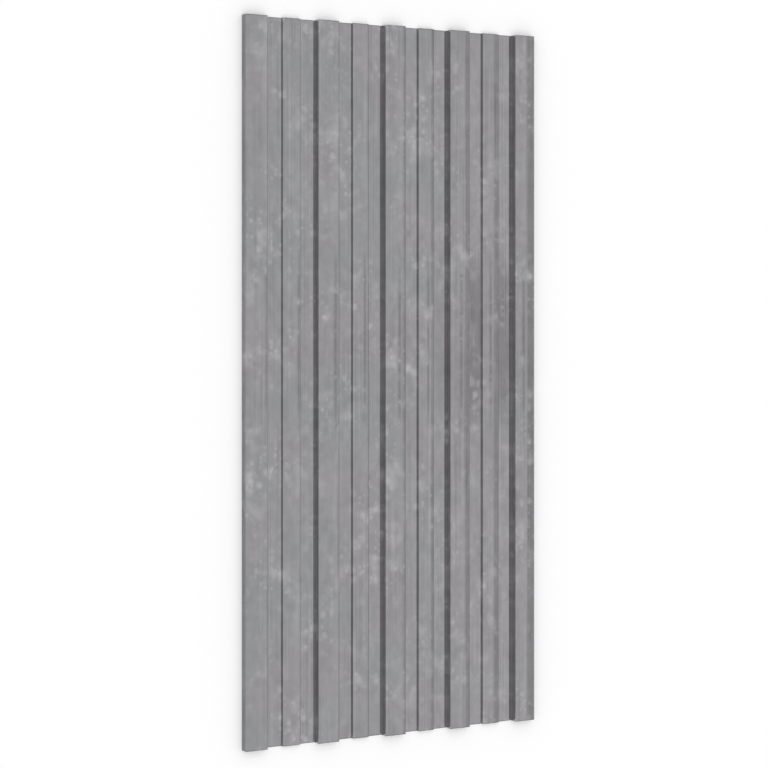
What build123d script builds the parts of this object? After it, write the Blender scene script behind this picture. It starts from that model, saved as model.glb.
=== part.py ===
# Ribbed galvanised cladding sheet: one strip of thin steel, roll-formed so that
# high flat-topped ribs alternate with low ones, with a narrow flat valley between.
#
# The sheet lies as it would on a level floor. X runs across the ribs, Y along them,
# and Z is up. The origin is the centre of its footprint, and the valleys rest on Z = 0.

from build123d import *
import os

# Strip and cut length, in millimetres like every size here
SHEET_LENGTH = 1000.0
STEEL_THICKNESS = 0.5

# Where the ribs run: a high one on the middle line, and two more on each side
INNER_RIB_PITCH = 101.5
OUTER_RIB_PITCH = 105.5

# High ribs, measured on the upper face
HIGH_CROWN_WIDTH = 31.0
HIGH_SHOULDER_RISE = 10.45
HIGH_CROWN_BOW = 0.55
HIGH_WEB_RUN = 1.5

# Low ribs, midway between the high ones
INNER_LOW_CROWN_WIDTH = 24.2
OUTER_LOW_CROWN_WIDTH = 26.0
LOW_SHOULDER_RISE = 3.8
LOW_CROWN_BOW = 0.45
LOW_WEB_RUN = 0.6

# The two long edges are the outer webs of the last high ribs, splayed a little more
EDGE_WEB_RUN = 2.5

# The rolls bend the strip round a small radius. The upper face is the outside of the bend at
# a shoulder, and its inside at a foot.
INSIDE_BEND_RADIUS = 0.5
OUTSIDE_BEND_RADIUS = INSIDE_BEND_RADIUS + STEEL_THICKNESS

# How near a corner has to lie to a level to count as standing on it
SAME_LEVEL = 0.05


class Rib:
    """One rib of the section, as it shows on the sheet's upper face."""

    def __init__(self, centre, crown_width, rise, bow, web_run):
        self.left_shoulder = (centre - crown_width / 2, STEEL_THICKNESS + rise)
        self.right_shoulder = (centre + crown_width / 2, STEEL_THICKNESS + rise)
        self.crest = (centre, STEEL_THICKNESS + rise + bow)
        self.left_foot = (self.left_shoulder[0] - web_run, STEEL_THICKNESS)
        self.right_foot = (self.right_shoulder[0] + web_run, STEEL_THICKNESS)


def high_rib(centre):
    return Rib(centre, HIGH_CROWN_WIDTH, HIGH_SHOULDER_RISE, HIGH_CROWN_BOW, HIGH_WEB_RUN)


def low_rib(centre, crown_width):
    return Rib(centre, crown_width, LOW_SHOULDER_RISE, LOW_CROWN_BOW, LOW_WEB_RUN)


def ribs_left_to_right():
    """High and low ribs in turn, the same on both sides of the middle line."""
    outer_high = INNER_RIB_PITCH + OUTER_RIB_PITCH
    inner_low = INNER_RIB_PITCH / 2
    outer_low = INNER_RIB_PITCH + OUTER_RIB_PITCH / 2
    right_half = [
        low_rib(inner_low, INNER_LOW_CROWN_WIDTH),
        high_rib(INNER_RIB_PITCH),
        low_rib(outer_low, OUTER_LOW_CROWN_WIDTH),
        high_rib(outer_high),
    ]
    left_half = [
        high_rib(-outer_high),
        low_rib(-outer_low, OUTER_LOW_CROWN_WIDTH),
        high_rib(-INNER_RIB_PITCH),
        low_rib(-inner_low, INNER_LOW_CROWN_WIDTH),
    ]
    return left_half + [high_rib(0)] + right_half


def corners_at_level(line, levels):
    return line.vertices().filter_by(lambda corner: any(abs(corner.Y - level) < SAME_LEVEL for level in levels))


def upper_face_line(ribs):
    """The section's upper face as one line from the left edge to the right edge."""
    with BuildLine() as line:
        Line((ribs[0].left_shoulder[0] - EDGE_WEB_RUN, 0), ribs[0].left_shoulder)
        for rib, next_rib in zip(ribs, ribs[1:]):
            ThreePointArc(rib.left_shoulder, rib.crest, rib.right_shoulder)
            Line(rib.right_shoulder, rib.right_foot)
            Line(rib.right_foot, next_rib.left_foot)
            Line(next_rib.left_foot, next_rib.left_shoulder)
        ThreePointArc(ribs[-1].left_shoulder, ribs[-1].crest, ribs[-1].right_shoulder)
        Line(ribs[-1].right_shoulder, (ribs[-1].right_shoulder[0] + EDGE_WEB_RUN, 0))
        fillet(corners_at_level(line, [STEEL_THICKNESS]), INSIDE_BEND_RADIUS)
        shoulder_levels = [rib.left_shoulder[1] for rib in ribs]
        fillet(corners_at_level(line, shoulder_levels), OUTSIDE_BEND_RADIUS)
    return line.wires()[0]


def ribbed_sheet():
    """The rolled section, one steel thickness deep all along, run the sheet's length.

    The two long edges are dressed level, so they stand on the floor with the valleys.
    """
    upper_face = upper_face_line(ribs_left_to_right())
    section_outline = upper_face.offset_2d(STEEL_THICKNESS, side=Side.RIGHT, closed=True)
    with BuildPart() as sheet:
        with BuildSketch(Plane.XZ):
            add(section_outline)
            make_face()
        extrude(amount=SHEET_LENGTH / 2, both=True)
        split(bisect_by=Plane.XY, keep=Keep.TOP)
    return sheet.part


os.makedirs("parts", exist_ok=True)
sheet = ribbed_sheet()
sheet.label = "ribbed_sheet"
export_step(sheet, "parts/ribbed_sheet.step")
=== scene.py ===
# %% [markdown]
# # A ribbed galvanised sheet
#
# The object is one strip of thin zinc-coated steel that has run through a roll former. High
# flat-topped ribs alternate with low ones, and a narrow flat valley lies between each pair. It
# rests on the floor as it would lie unheld: X runs across the ribs, Y along them, and Z is up.
#
# The lesson loads the construction model as a fixed frame, rolls a finer skin from the same
# sizes with Geometry Nodes, gives it a zinc finish, and sets the studio and the camera.

import bpy
from math import atan2, cos, radians, sin, tan
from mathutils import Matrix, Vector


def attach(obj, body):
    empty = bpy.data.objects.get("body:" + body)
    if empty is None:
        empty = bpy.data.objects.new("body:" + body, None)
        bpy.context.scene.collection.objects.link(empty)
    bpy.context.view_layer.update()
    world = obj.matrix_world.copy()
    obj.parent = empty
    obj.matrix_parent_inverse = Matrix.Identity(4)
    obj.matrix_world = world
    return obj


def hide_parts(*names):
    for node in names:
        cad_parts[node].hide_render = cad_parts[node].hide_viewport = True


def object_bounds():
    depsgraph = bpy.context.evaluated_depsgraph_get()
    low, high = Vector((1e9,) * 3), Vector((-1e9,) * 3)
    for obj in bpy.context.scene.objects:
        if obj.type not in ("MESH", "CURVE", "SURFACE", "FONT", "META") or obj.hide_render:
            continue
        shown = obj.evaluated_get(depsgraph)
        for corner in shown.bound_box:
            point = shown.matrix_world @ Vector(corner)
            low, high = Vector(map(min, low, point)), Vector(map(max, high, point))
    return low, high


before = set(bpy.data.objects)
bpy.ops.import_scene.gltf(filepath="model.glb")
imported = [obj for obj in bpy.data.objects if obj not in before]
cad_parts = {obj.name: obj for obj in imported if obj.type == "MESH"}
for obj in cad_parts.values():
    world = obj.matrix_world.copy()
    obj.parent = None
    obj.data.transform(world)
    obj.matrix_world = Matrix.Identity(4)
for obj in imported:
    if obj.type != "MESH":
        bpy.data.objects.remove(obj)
cad_low, cad_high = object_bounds()
MM = 0.001
print("frame box in mm:", [round(v / MM, 2) for v in (*cad_low, *cad_high)])

# %% [markdown]
# ## Writing nodes as sums
#
# A node tree is easier to read as an expression than as a list of boxes and wires. One small
# class holds a socket. Its operators add Math nodes for numbers and Vector Math nodes for
# vectors, so `1 - mask * 0.3` builds two nodes. Every other node comes from one function, which
# takes its type, its settings and its sockets. Both serve the geometry tree as well as the
# material and the world, because all three kinds of tree share these nodes.


# %% One socket and its arithmetic
def feed(tree, socket, value):
    """Links a socket to a signal, or sets it to a plain value."""
    if isinstance(value, Signal):
        tree.links.new(value.socket, socket)
    else:
        socket.default_value = value


class Signal:
    """One output socket of a tree, with arithmetic that adds the nodes it needs."""

    def __init__(self, tree, socket):
        self.tree = tree
        self.socket = socket

    def combine(self, operation, *terms):
        """One node on these terms: Vector Math if this signal is a vector, or else Math."""
        kind = "ShaderNodeVectorMath" if self.socket.type == "VECTOR" else "ShaderNodeMath"
        node = self.tree.nodes.new(kind)
        node.operation = operation
        for socket, term in zip(node.inputs, terms):
            feed(self.tree, socket, term)
        return Signal(self.tree, node.outputs[0])

    def __add__(self, other):
        return self.combine("ADD", self, other)

    def __radd__(self, other):
        return self.combine("ADD", other, self)

    def __sub__(self, other):
        return self.combine("SUBTRACT", self, other)

    def __rsub__(self, other):
        return self.combine("SUBTRACT", other, self)

    def __mul__(self, other):
        return self.combine("MULTIPLY", self, other)

    def __rmul__(self, other):
        return self.combine("MULTIPLY", other, self)

    def __truediv__(self, other):
        return self.combine("DIVIDE", self, other)

    def __rtruediv__(self, other):
        return self.combine("DIVIDE", other, self)

    def magnitude(self):
        """The number without its sign."""
        return self.combine("ABSOLUTE", self)

    def square_root(self):
        return self.combine("SQRT", self)

    def at_least(self, other):
        return self.combine("MAXIMUM", self, other)

    def between(self, low, high):
        """0 below low, 1 above high, and a smooth step from one to the other."""
        settings = {"interpolation_type": "SMOOTHSTEP"}
        inputs = {"Value": self, "From Min": low, "From Max": high}
        return build(self.tree, "ShaderNodeMapRange", settings, inputs)["Result"]


print("socket arithmetic ready")


# %% One function for every other node
def build(tree, kind, settings=None, inputs=None):
    """Adds one node: its settings first, then its sockets. Returns its outputs by name.

    A node may hold several sockets of one name. Its settings enable the one that counts.
    """
    node = tree.nodes.new(kind)
    for name, value in (settings or {}).items():
        setattr(node, name, value)
    sockets = {socket.name: socket for socket in node.inputs if socket.enabled}
    for name, value in (inputs or {}).items():
        feed(tree, sockets[name], value)
    return {output.name: Signal(tree, output) for output in node.outputs if output.enabled}


print("node builder ready")

# %% [markdown]
# ## The section that the rolls press
#
# Seen from its end the sheet is one bent line, so its sizes are few: how wide and how high each
# kind of rib is, how far its webs lean, and how tight the bends are. They repeat the frame's, in
# metres. The crowns are very slightly domed. A real rolled crown springs back like that, and the
# dome is why each crown mirrors a wider piece of the room than a flat face would.
#
# Only the bend at a foot is tighter than the frame's, which moves the face there by about a
# tenth of a millimetre. A wide bend would mirror the bright room as a thin line inside each dark
# band, and the photograph has none there.

# %% Sizes of the section
STEEL = 0.5 * MM
INNER_PITCH = 101.5 * MM
OUTER_PITCH = 105.5 * MM

HIGH_RISE = 10.45 * MM
HIGH_CROWN = 31.0 * MM
HIGH_BOW = 0.55 * MM
HIGH_WEB_RUN = 1.5 * MM

LOW_RISE = 3.8 * MM
INNER_LOW_CROWN = 24.2 * MM
OUTER_LOW_CROWN = 26.0 * MM
LOW_BOW = 0.45 * MM
LOW_WEB_RUN = 0.6 * MM

EDGE_WEB_RUN = 2.5 * MM
FOOT_BEND = 0.15 * MM
SHOULDER_BEND = 1.0 * MM
CROWN_STEPS = 16

sheet_length = cad_high.y - cad_low.y
print("sheet", round((cad_high.x - cad_low.x) / MM), "by", round(sheet_length / MM), "mm")


# %% One rib as a line of points
class Rib:
    """One rib: where it stands across the sheet, and its sizes."""

    def __init__(self, centre, crown, rise, bow, web_run):
        self.centre = centre
        self.crown = crown
        self.rise = rise
        self.bow = bow
        self.web_run = web_run

    def mirrored(self):
        return Rib(-self.centre, self.crown, self.rise, self.bow, self.web_run)

    def foot(self, side):
        return (self.centre + side * (self.crown / 2 + self.web_run), STEEL, FOOT_BEND)

    def dome(self):
        """The crown from shoulder to shoulder. Only the shoulders are bent by the rolls."""
        points = []
        for step in range(CROWN_STEPS + 1):
            across = 2 * step / CROWN_STEPS - 1
            height = STEEL + self.rise + self.bow * (1 - across**2)
            bend = SHOULDER_BEND if step in (0, CROWN_STEPS) else 0
            points.append((self.centre + across * self.crown / 2, height, bend))
        return points

    def points(self):
        """From its left foot to its right foot, each point with its bend radius."""
        return [self.foot(-1), *self.dome(), self.foot(1)]


def high_rib(centre):
    return Rib(centre, HIGH_CROWN, HIGH_RISE, HIGH_BOW, HIGH_WEB_RUN)


def low_rib(centre, crown):
    return Rib(centre, crown, LOW_RISE, LOW_BOW, LOW_WEB_RUN)


print("one rib has", len(high_rib(0).points()), "points")


# %% All ribs as one line
def all_ribs():
    """High and low ribs in turn from left to right, mirrored about the middle one."""
    last = INNER_PITCH + OUTER_PITCH
    right = [
        low_rib(INNER_PITCH / 2, INNER_LOW_CROWN),
        high_rib(INNER_PITCH),
        low_rib(last - OUTER_PITCH / 2, OUTER_LOW_CROWN),
        high_rib(last),
    ]
    left = [rib.mirrored() for rib in reversed(right)]
    return [*left, high_rib(0), *right]


def edge_point(rib, side):
    """Where an edge web ends, so that its square cut just touches the floor."""
    lean = atan2(EDGE_WEB_RUN, STEEL + rib.rise)
    cut_lift = STEEL * sin(lean)
    run = (STEEL + rib.rise - cut_lift) * tan(lean)
    return (rib.centre + side * (rib.crown / 2 + run), cut_lift, 0)


def section_points():
    """The upper face's line. Its outermost webs end at the floor, and not in a valley."""
    ribs = all_ribs()
    points = [point for rib in ribs for point in rib.points()]
    points[0] = edge_point(ribs[0], -1)
    points[-1] = edge_point(ribs[-1], 1)
    return points


section = section_points()
print("section of", len(section), "points before its bends are rounded")

# %% [markdown]
# ## Rolling the sheet
#
# A roll former takes flat strip in at one end and gives the same section all along. Geometry
# Nodes can do just that: the section becomes a curve, Fillet Curve rounds each corner with the
# radius stored on it, and Curve to Mesh runs it along a straight rail. Modelling the ribs by hand
# would take nine near copies of the same edges, and one wrong step would show as a kink.
#
# A rolled face is never dead flat, so Set Position lets it wander by a few hundredths of a
# millimetre, towards the middle of the sheet's depth so that the sheet keeps its size.

# %% The section as a line of edges
BEND_NAME = "bend_radius"

# Along this rail Curve to Mesh turns a section's Y downwards, so the heights go in negative.
section_mesh = bpy.data.meshes.new("section_line")
section_edges = [(n, n + 1) for n in range(len(section) - 1)]
section_mesh.from_pydata([(x, -z, 0) for x, z, _ in section], section_edges, [])
bend_attribute = section_mesh.attributes.new(BEND_NAME, "FLOAT", "POINT")
bend_attribute.data.foreach_set("value", [bend for _, _, bend in section])
sheet = bpy.data.objects.new("rolled_sheet", section_mesh)
bpy.context.scene.collection.objects.link(sheet)
print("section line has", len(section_edges), "edges")

# %% The former's three jobs
ROLL_INPUTS = {
    "Section": "NodeSocketGeometry",
    "Length": "NodeSocketFloat",
    "Rows": "NodeSocketInt",
    "Bend steps": "NodeSocketInt",
    "Depth": "NodeSocketFloat",
    "Wander": "NodeSocketFloat",
    "Wander length": "NodeSocketFloat",
    "Seed": "NodeSocketFloat",
    "Finish": "NodeSocketMaterial",
}

# Noise with this much detail keeps its lumps soft
SOFT_DETAIL = 1.0


def rounded_section(tree, given):
    """The section as a curve, each corner rounded by the radius that is stored on it."""
    strip = build(tree, "GeometryNodeMeshToCurve", inputs={"Mesh": given["Section"]})["Curve"]
    stored = {"Name": BEND_NAME}
    bend = build(tree, "GeometryNodeInputNamedAttribute", {"data_type": "FLOAT"}, stored)
    corners = {
        "Curve": strip,
        "Count": given["Bend steps"],
        "Radius": bend["Attribute"],
        "Limit Radius": True,
    }
    return build(tree, "GeometryNodeFilletCurve", {"mode": "POLY"}, corners)["Curve"]


def straight_rail(tree, given):
    """A line along Y, as long as the sheet, with one point for each row."""
    half = given["Length"] / 2
    start = build(tree, "ShaderNodeCombineXYZ", inputs={"Y": 0 - half})["Vector"]
    end = build(tree, "ShaderNodeCombineXYZ", inputs={"Y": half})["Vector"]
    line = build(tree, "GeometryNodeCurvePrimitiveLine", inputs={"Start": start, "End": end})
    rows = {"Curve": line["Curve"], "Count": given["Rows"]}
    return build(tree, "GeometryNodeResampleCurve", inputs=rows)["Curve"]


def wander_shift(tree, given):
    """How far each point strays, always towards the middle of the sheet's depth."""
    place = build(tree, "GeometryNodeInputPosition")["Position"]
    height = build(tree, "ShaderNodeSeparateXYZ", inputs={"Vector": place})["Z"]
    inputs = {
        "Vector": place,
        "W": given["Seed"],
        "Scale": 1 / given["Wander length"],
        "Detail": SOFT_DETAIL,
    }
    waves = build(tree, "ShaderNodeTexNoise", {"noise_dimensions": "4D"}, inputs)["Fac"]
    inward = 1 - 2 * height / given["Depth"]
    rise = given["Wander"] * waves * inward
    return build(tree, "ShaderNodeCombineXYZ", inputs={"Z": rise})["Vector"]


print("the former takes", len(ROLL_INPUTS), "inputs")


# %% The rolling tree
def rolling_tree():
    """Rolls a section line along Y. Returns the tree, and its inputs' identifiers by name."""
    tree = bpy.data.node_groups.new("roll_former", "GeometryNodeTree")
    tree.interface.new_socket(name="Geometry", in_out="OUTPUT", socket_type="NodeSocketGeometry")
    identifiers = {}
    for name, kind in ROLL_INPUTS.items():
        socket = tree.interface.new_socket(name=name, in_out="INPUT", socket_type=kind)
        identifiers[name] = socket.identifier

    given = build(tree, "NodeGroupInput")
    run = {"Curve": straight_rail(tree, given), "Profile Curve": rounded_section(tree, given)}
    rolled = build(tree, "GeometryNodeCurveToMesh", inputs=run)["Mesh"]
    finishing = [
        ("GeometryNodeSetPosition", {"Offset": wander_shift(tree, given)}),
        ("GeometryNodeSetShadeSmooth", {}),
        ("GeometryNodeRealizeInstances", {}),
        ("GeometryNodeSetMaterial", {"Material": given["Finish"]}),
    ]
    for kind, inputs in finishing:
        rolled = build(tree, kind, inputs={"Geometry": rolled, **inputs})["Geometry"]
    build(tree, "NodeGroupOutput", inputs={"Geometry": rolled})
    return tree, identifiers


roll_former, roll_inputs = rolling_tree()
print("rolling tree has", len(roll_former.nodes), "nodes")

# %% [markdown]
# ## The zinc skin
#
# Hot-dip zinc is a metal coat, so it takes its brightness from what it mirrors: the webs look
# dark because they mirror the grey valley beside them and not the bright room. That happens by
# itself once the surface is metallic and fairly smooth. What is left to paint is the coat's own
# unevenness, and painted shade on the two outer webs. A painted image would have one size and
# show its pixels close by, so the coat is made of noise, which is worked out afresh at every
# point.
#
# The noise reads Object coordinates, which are the same metres as the frame, so every size below
# is a real one, across and along the ribs. A pair named FADE says where on its noise a layer
# starts to show, and where it shows in full.

# %% Noise of a real size
LAYERS = ["clusters", "puffs", "threads", "clouds", "mottle", "lines", "patches", "tint"]

# Noise swings to both sides of this
NOISE_MIDDLE = 0.5


def noise(place, layer, size, detail=SOFT_DETAIL):
    """Noise whose lumps measure `size`, across and along the ribs, in metres.

    A layer's place in the list is its seed, so no two layers share their lumps.
    """
    across, along = size
    inputs = {
        "Vector": place / (across, along, across),
        "W": LAYERS.index(layer),
        "Scale": 1.0,
        "Detail": detail,
    }
    return build(place.tree, "ShaderNodeTexNoise", {"noise_dimensions": "4D"}, inputs)["Fac"]


print("noise has", len(LAYERS), "layers, each with a seed of its own")

# %% [markdown]
# ## Pale bloom
#
# Bloom is the pale veil that weather leaves on zinc. It gathers in clusters, as wide puffs with
# round spots and specks on them and fine threads between. Noise could give all of it, but its
# lumps are long and crooked, and these spots are round. So the spots and specks come from Voronoi
# cells, one dot to a cell, and noise gives the rest.

# %% Soft round dots
# How far a dot reaches in its cell, and which of the cells' chances let it show
DOT_REACH = (0.05, 0.60)
DOT_CHANCE = (0.45, 0.95)


def dots(place, size):
    """Soft round dots, one to a cell of that size, and each of its own strength."""
    across, along = size
    inputs = {"Vector": place / (across, along, across), "Scale": 1.0}
    cells = build(place.tree, "ShaderNodeTexVoronoi", inputs=inputs)
    chance = build(place.tree, "ShaderNodeSeparateColor", inputs={"Color": cells["Color"]})["Red"]
    return (1 - cells["Distance"].between(*DOT_REACH)) * chance.between(*DOT_CHANCE)


print("a dot fades out at", DOT_REACH[1], "of its cell")

# %% How much bloom covers each place
CLUSTER_SIZE = (60 * MM, 75 * MM)
CLUSTER_FADE = (0.34, 0.66)

PUFF_SIZE = (22 * MM, 28 * MM)
PUFF_FADE = (0.49, 0.76)
PUFF_STRENGTH = 0.24

SPOT_SIZE = (12 * MM, 14 * MM)
SPOT_STRENGTH = 0.32
SPECK_SIZE = (6.5 * MM, 7.5 * MM)
SPECK_STRENGTH = 0.24

# A thread follows the middle of its noise, and fades out this far from it
THREAD_SIZE = (26 * MM, 34 * MM)
THREAD_WIDTH = 0.04
THREAD_STRENGTH = 0.12


def bloom_cover(place):
    """Puffs, spots, specks and threads together, each kept to the clusters."""
    clusters = noise(place, "clusters", CLUSTER_SIZE).between(*CLUSTER_FADE)
    puffs = noise(place, "puffs", PUFF_SIZE).between(*PUFF_FADE) * clusters
    spots = dots(place, SPOT_SIZE) * clusters
    specks = dots(place, SPECK_SIZE) * clusters
    from_thread = (noise(place, "threads", THREAD_SIZE) - NOISE_MIDDLE).magnitude() / THREAD_WIDTH
    threads = (1 - from_thread).at_least(0.0) * puffs
    bloom = puffs * PUFF_STRENGTH + spots * SPOT_STRENGTH + specks * SPECK_STRENGTH
    return bloom + threads * THREAD_STRENGTH


print("bloom spots come in cells of", [round(side / MM) for side in SPOT_SIZE], "mm")

# %% [markdown]
# ## Bare zinc
#
# Between the bloom the zinc has soft clouds, a mottle that is longer along the ribs, and patches
# of faint lines drawn by the rolls. All of them are noise, stretched along the ribs by its size.
# The zinc is darker along each cut end, and painted shade darkens what the two outer webs mirror.
# Those two follow the sheet's own edges, so they are worked out from the place and not from
# noise.

# %% How bright the bare zinc is, with painted shade on its outer webs
CLOUD_SIZE = (34 * MM, 60 * MM)
CLOUD_DETAIL = 3.0
CLOUD_DEPTH = 0.22

MOTTLE_SIZE = (11 * MM, 18 * MM)
MOTTLE_DEPTH = 0.30

LINE_SIZE = (2.6 * MM, 260 * MM)
LINE_DEPTH = 0.50
PATCH_SIZE = (22 * MM, 170 * MM)
PATCH_FADE = (0.40, 0.58)

# Over what width the zinc is darker along each cut end, and by how much
CUT_EDGE_WIDTH = 1.6 * MM
CUT_EDGE_SHADE = 0.40
# Painted shade: the two outer webs are darkened by this share, so that what they mirror looks
# darker
OUTER_WEB_PAINTED_SHADE = 0.24

half_length = sheet_length / 2
side_web_start = all_ribs()[-1].centre + HIGH_CROWN / 2


def zinc_tone_with_painted_shade(place, parts, mottle):
    """The bare zinc's brightness at each place, as a share of its own colour, with painted shade
    on the two outer webs.
    """
    clouds = noise(place, "clouds", CLOUD_SIZE, CLOUD_DETAIL) - NOISE_MIDDLE
    patches = noise(place, "patches", PATCH_SIZE).between(*PATCH_FADE)
    roll_lines = (noise(place, "lines", LINE_SIZE) - NOISE_MIDDLE) * patches
    shade = 1 + clouds * CLOUD_DEPTH + mottle * MOTTLE_DEPTH + roll_lines * LINE_DEPTH
    cut_end = parts["Y"].magnitude().between(half_length - CUT_EDGE_WIDTH, half_length)
    # Painted shade that darkens what the two outer webs mirror
    painted_shade_webs = parts["X"].magnitude().between(side_web_start, side_web_start + STEEL)
    return shade * (1 - cut_end * CUT_EDGE_SHADE) * (1 - painted_shade_webs * OUTER_WEB_PAINTED_SHADE)


print("the outer webs start", round(side_web_start / MM, 1), "mm from the middle line")

# %% [markdown]
# ## One material from the layers
#
# Bloom is paler than bare zinc, blurs what it mirrors, and stands up a little. One amount of
# bloom drives all three, so that they always meet at the same places. The bare zinc drifts
# between two greys that are almost alike, because a coat of one grey looks like paint.


# %% Helpers for materials
def empty_material(name):
    """A material whose tree has no nodes yet. Returns both."""
    material = bpy.data.materials.new(name)
    material.use_nodes = True
    material.node_tree.nodes.clear()
    return material, material.node_tree


def coat(tree, inputs):
    """Ends a material's tree with a Principled shader that has these inputs."""
    skin = build(tree, "ShaderNodeBsdfPrincipled", inputs=inputs)["BSDF"]
    build(tree, "ShaderNodeOutputMaterial", inputs={"Surface": skin})


def blend_colours(tree, factor, first, second, how="MIX"):
    """One Mix node for colours. `first` and `second` are colours or signals."""
    settings = {"data_type": "RGBA", "blend_type": how}
    inputs = {"Factor": factor, "A": first, "B": second}
    return build(tree, "ShaderNodeMix", settings, inputs)["Result"]


print("material helpers ready")

# %% The zinc material
WARM_ZINC = (0.349, 0.336, 0.350, 1)
COOL_ZINC = (0.336, 0.338, 0.348, 1)
BLOOM = (0.72, 0.71, 0.725, 1)

# The coat is a little warmer towards the right-hand edge, by this much noise for each metre
TINT_SIZE = (90 * MM, 120 * MM)
TINT_FADE = (0.38, 0.62)
WARM_DRIFT = 0.3

# How much of the room the zinc mirrors at a glancing angle, how blurred that is, and how much
# more bloom blurs it
GLANCING_TINT = (0.75, 0.75, 0.75, 1)
ZINC_ROUGHNESS = 0.08
BLOOM_ROUGHNESS = 0.40

# How far the coat stands up, at the most
MOTTLE_RELIEF = 0.010 * MM
BLOOM_RELIEF = 0.020 * MM


def zinc_finish():
    material, tree = empty_material("galvanised_steel")
    place = build(tree, "ShaderNodeTexCoord")["Object"]
    parts = build(tree, "ShaderNodeSeparateXYZ", inputs={"Vector": place})
    mottle = noise(place, "mottle", MOTTLE_SIZE) - NOISE_MIDDLE
    shade = zinc_tone_with_painted_shade(place, parts, mottle)
    bloom = bloom_cover(place)

    tint = (noise(place, "tint", TINT_SIZE) - parts["X"] * WARM_DRIFT).between(*TINT_FADE)
    grey = {"Red": shade, "Green": shade, "Blue": shade}
    tone = build(tree, "ShaderNodeCombineColor", inputs=grey)["Color"]
    colour = blend_colours(tree, tint, WARM_ZINC, COOL_ZINC)
    colour = blend_colours(tree, 1.0, colour, tone, "MULTIPLY")
    colour = blend_colours(tree, bloom, colour, BLOOM)

    height = mottle * MOTTLE_RELIEF + bloom * BLOOM_RELIEF
    relief = {"Strength": 1.0, "Distance": 1.0, "Height": height}
    skin = {
        "Base Color": colour,
        "Metallic": 1.0,
        "Roughness": ZINC_ROUGHNESS + bloom * BLOOM_ROUGHNESS,
        "Specular Tint": GLANCING_TINT,
        "Normal": build(tree, "ShaderNodeBump", inputs=relief)["Normal"],
    }
    coat(tree, skin)
    return material


zinc = zinc_finish()
print("zinc finish has", len(zinc.node_tree.nodes), "nodes")

# %% [markdown]
# ## Running the former
#
# The modifier's inputs are set by their sockets' identifiers, because a name may be used twice.
# Solidify then gives the rolled face its steel, downwards, so the upper face keeps its measured
# place. The edges where the steel was cut are marked sharp. Weighted Normal keeps the flat faces
# flat up to their bends, so that a valley mirrors its web as a straight band.

# %% The rolled sheet
ROWS = 81
BEND_STEPS = 5
WANDER = 0.05 * MM
WANDER_LENGTH = 90 * MM
WANDER_SEED = 7.0
CORNER_ANGLE = radians(50)

sizes = {
    "Length": sheet_length,
    "Rows": ROWS,
    "Bend steps": BEND_STEPS,
    "Depth": STEEL + HIGH_RISE + HIGH_BOW,
    "Wander": WANDER,
    "Wander length": WANDER_LENGTH,
    "Seed": WANDER_SEED,
    "Finish": zinc,
}


def bake(piece):
    """Turns a piece and its modifiers into one plain mesh."""
    evaluated = piece.evaluated_get(bpy.context.evaluated_depsgraph_get())
    plain = bpy.data.meshes.new_from_object(evaluated)
    piece.modifiers.clear()
    piece.data = plain


former = sheet.modifiers.new("roll_former", "NODES")
former.node_group = roll_former
for name, value in sizes.items():
    former[roll_inputs[name]] = value

thickness = sheet.modifiers.new("steel", "SOLIDIFY")
thickness.thickness = STEEL
thickness.offset = -1
thickness.use_even_offset = True
bake(sheet)

sheet.data.set_sharp_from_angle(angle=CORNER_ANGLE)
even_faces = sheet.modifiers.new("even_faces", "WEIGHTED_NORMAL")
even_faces.keep_sharp = True
bake(sheet)

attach(sheet, "root")
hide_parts("ribbed_sheet")
print("rolled sheet:", len(sheet.data.vertices), "points,", len(sheet.data.polygons), "faces")

# %% [markdown]
# ## A plain studio
#
# The floor is white and keeps the sheet's shadow. The room is a white world of strength 1, so a
# colour renders as it is written.
#
# A metal sheet would look dead in a room with no shape, so mirror rays alone see one that has
# some. Its white is a little below full, and glows slightly towards the right. There the wall
# ends in a dimmer side, with one small dim opening before it. The domed crowns bring the dim
# side in along their right-hand edges, which is what makes each rib read as a rib. Lamps could
# draw the same shapes, but they would also change how bright every colour renders.

# %% The floor
FLOOR_SIZE = 8.0
WHITE = (1, 1, 1, 1)


def floor_plane():
    half = FLOOR_SIZE / 2
    corners = [(-half, -half, 0), (half, -half, 0), (half, half, 0), (-half, half, 0)]
    mesh = bpy.data.meshes.new("floor")
    mesh.from_pydata(corners, [], [(0, 1, 2, 3)])
    material, tree = empty_material("white_floor")
    coat(tree, {"Base Color": WHITE, "Roughness": 1.0, "Specular IOR Level": 0.0})
    mesh.materials.append(material)
    floor = bpy.data.objects.new("floor", mesh)
    bpy.context.scene.collection.objects.link(floor)
    return floor


floor_plane()
print("floor", FLOOR_SIZE, "m wide")

# %% The room as the metal sees it
# The mirrored room's brightness, and the share of it by which each part glows or dims
ROOM_LEVEL = 0.86
GLOW = 0.08
WALL_DIM = 0.30
OPENING_DIM = 0.36

# Places across the ribs are angles from the upright, towards the right
GLOW_START = sin(radians(20))
GLOW_END = sin(radians(31))
WALL_END = radians(30.7)
OPENING_LEFT = radians(26.4)
OPENING_RIGHT = radians(28.6)

# Places along the ribs, and the blur of every edge, are shares of the distance to the wall
OPENING_LOW = -0.059
OPENING_HIGH = 0.036
EDGE_SOFTNESS = 0.003


def past(value, edge):
    """0 before an edge and 1 past it."""
    return value.between(edge - EDGE_SOFTNESS, edge + EDGE_SOFTNESS)


def leans_past(across, up, angle):
    """1 where a direction leans further to the right than `angle` from the upright, or else 0."""
    return past(across * cos(angle) - up * sin(angle), 0.0)


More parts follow.
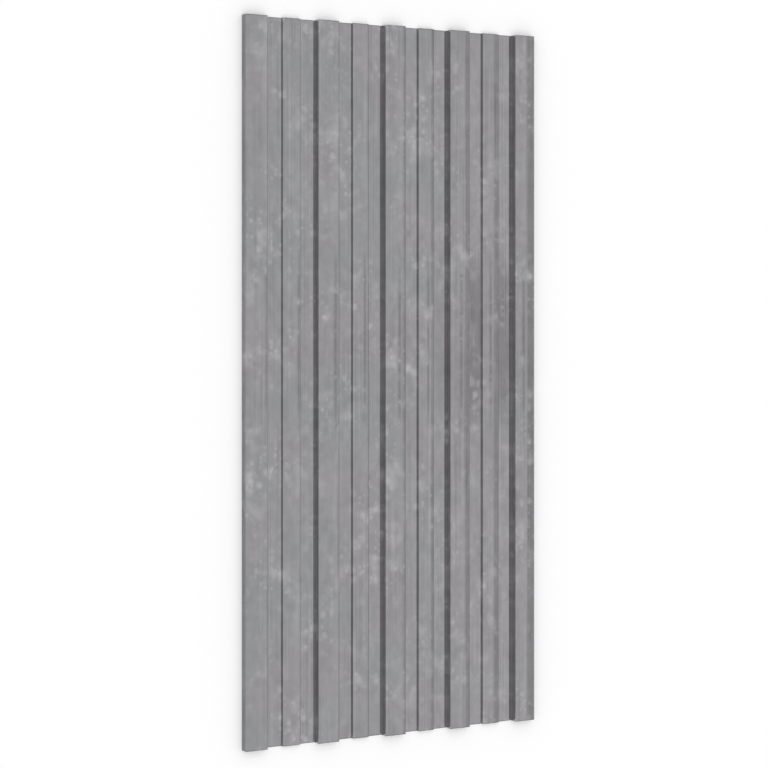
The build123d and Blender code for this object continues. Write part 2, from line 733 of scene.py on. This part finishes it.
def mirrored_room(tree):
    """The room's brightness in each direction, as a mirror ray sees it."""
    direction = build(tree, "ShaderNodeTexCoord")["Generated"]
    parts = build(tree, "ShaderNodeSeparateXYZ", inputs={"Vector": direction})
    reach = (parts["X"] * parts["X"] + parts["Z"] * parts["Z"]).square_root()
    across = parts["X"] / reach
    up = parts["Z"] / reach
    along = parts["Y"] / reach

    glow = across.between(GLOW_START, GLOW_END) * GLOW
    dim_side = leans_past(across, up, WALL_END)
    right_of_jamb = leans_past(across, up, OPENING_LEFT)
    left_of_jamb = 1 - leans_past(across, up, OPENING_RIGHT)
    above_sill = past(along, OPENING_LOW)
    below_head = 1 - past(along, OPENING_HIGH)
    opening = right_of_jamb * left_of_jamb * above_sill * below_head
    dimness = (dim_side * WALL_DIM).at_least(opening * OPENING_DIM)
    return ROOM_LEVEL * (1 + glow) * (1 - dimness)


print("the wall ends", round(tan(WALL_END), 2), "m to the right for each metre up")


# %% The world
def studio_world():
    world = bpy.data.worlds.new("studio")
    world.use_nodes = True
    tree = world.node_tree
    tree.nodes.clear()
    mirror_ray = build(tree, "ShaderNodeLightPath")["Is Glossy Ray"]
    strength = 1 + mirror_ray * (mirrored_room(tree) - 1)
    light = build(tree, "ShaderNodeBackground", inputs={"Color": WHITE, "Strength": strength})
    build(tree, "ShaderNodeOutputWorld", inputs={"Surface": light["Background"]})
    return world


world = studio_world()
bpy.context.scene.world = world
print("world has", len(world.node_tree.nodes), "nodes")

# %% [markdown]
# ## The camera
#
# The photograph keeps the sheet's long edges upright, and its horizon passes above the middle of
# the frame, so it was taken level with a shifted lens. Laid down with the sheet, that camera
# looks down at the floor, turned from the upright by the angle at which it saw the sheet. The
# lens comes from how fast the sheet's height shrinks from its near edge to its far one.

# %% The camera's place
SENSOR = 36.0

# Measured in the photograph's pixels
FRAME_PIXELS = 768
FOCAL_PIXELS = 1650
HORIZON_ROW = 320.0

# The camera's axis meets the crowns here, this far away and at this turn from the upright
AIM_ACROSS = -18.5 * MM
AIM_ALONG = 85 * MM
AIM_DISTANCE = 2.317
VIEW_TURN = radians(24)

lens = bpy.data.cameras.new("camera")
lens.sensor_width = SENSOR
lens.lens = FOCAL_PIXELS / FRAME_PIXELS * SENSOR
lens.shift_y = (HORIZON_ROW - FRAME_PIXELS / 2) / FRAME_PIXELS
camera = bpy.data.objects.new("camera", lens)
camera.location = (
    AIM_ACROSS - AIM_DISTANCE * sin(VIEW_TURN),
    AIM_ALONG,
    cad_high.z + AIM_DISTANCE * cos(VIEW_TURN),
)
camera.rotation_euler = (0, -VIEW_TURN, 0)
bpy.context.scene.collection.objects.link(camera)
bpy.context.scene.camera = camera
bpy.context.scene.view_settings.view_transform = "Standard"
print("lens", round(lens.lens, 1), "mm at", [round(v, 3) for v in camera.location])
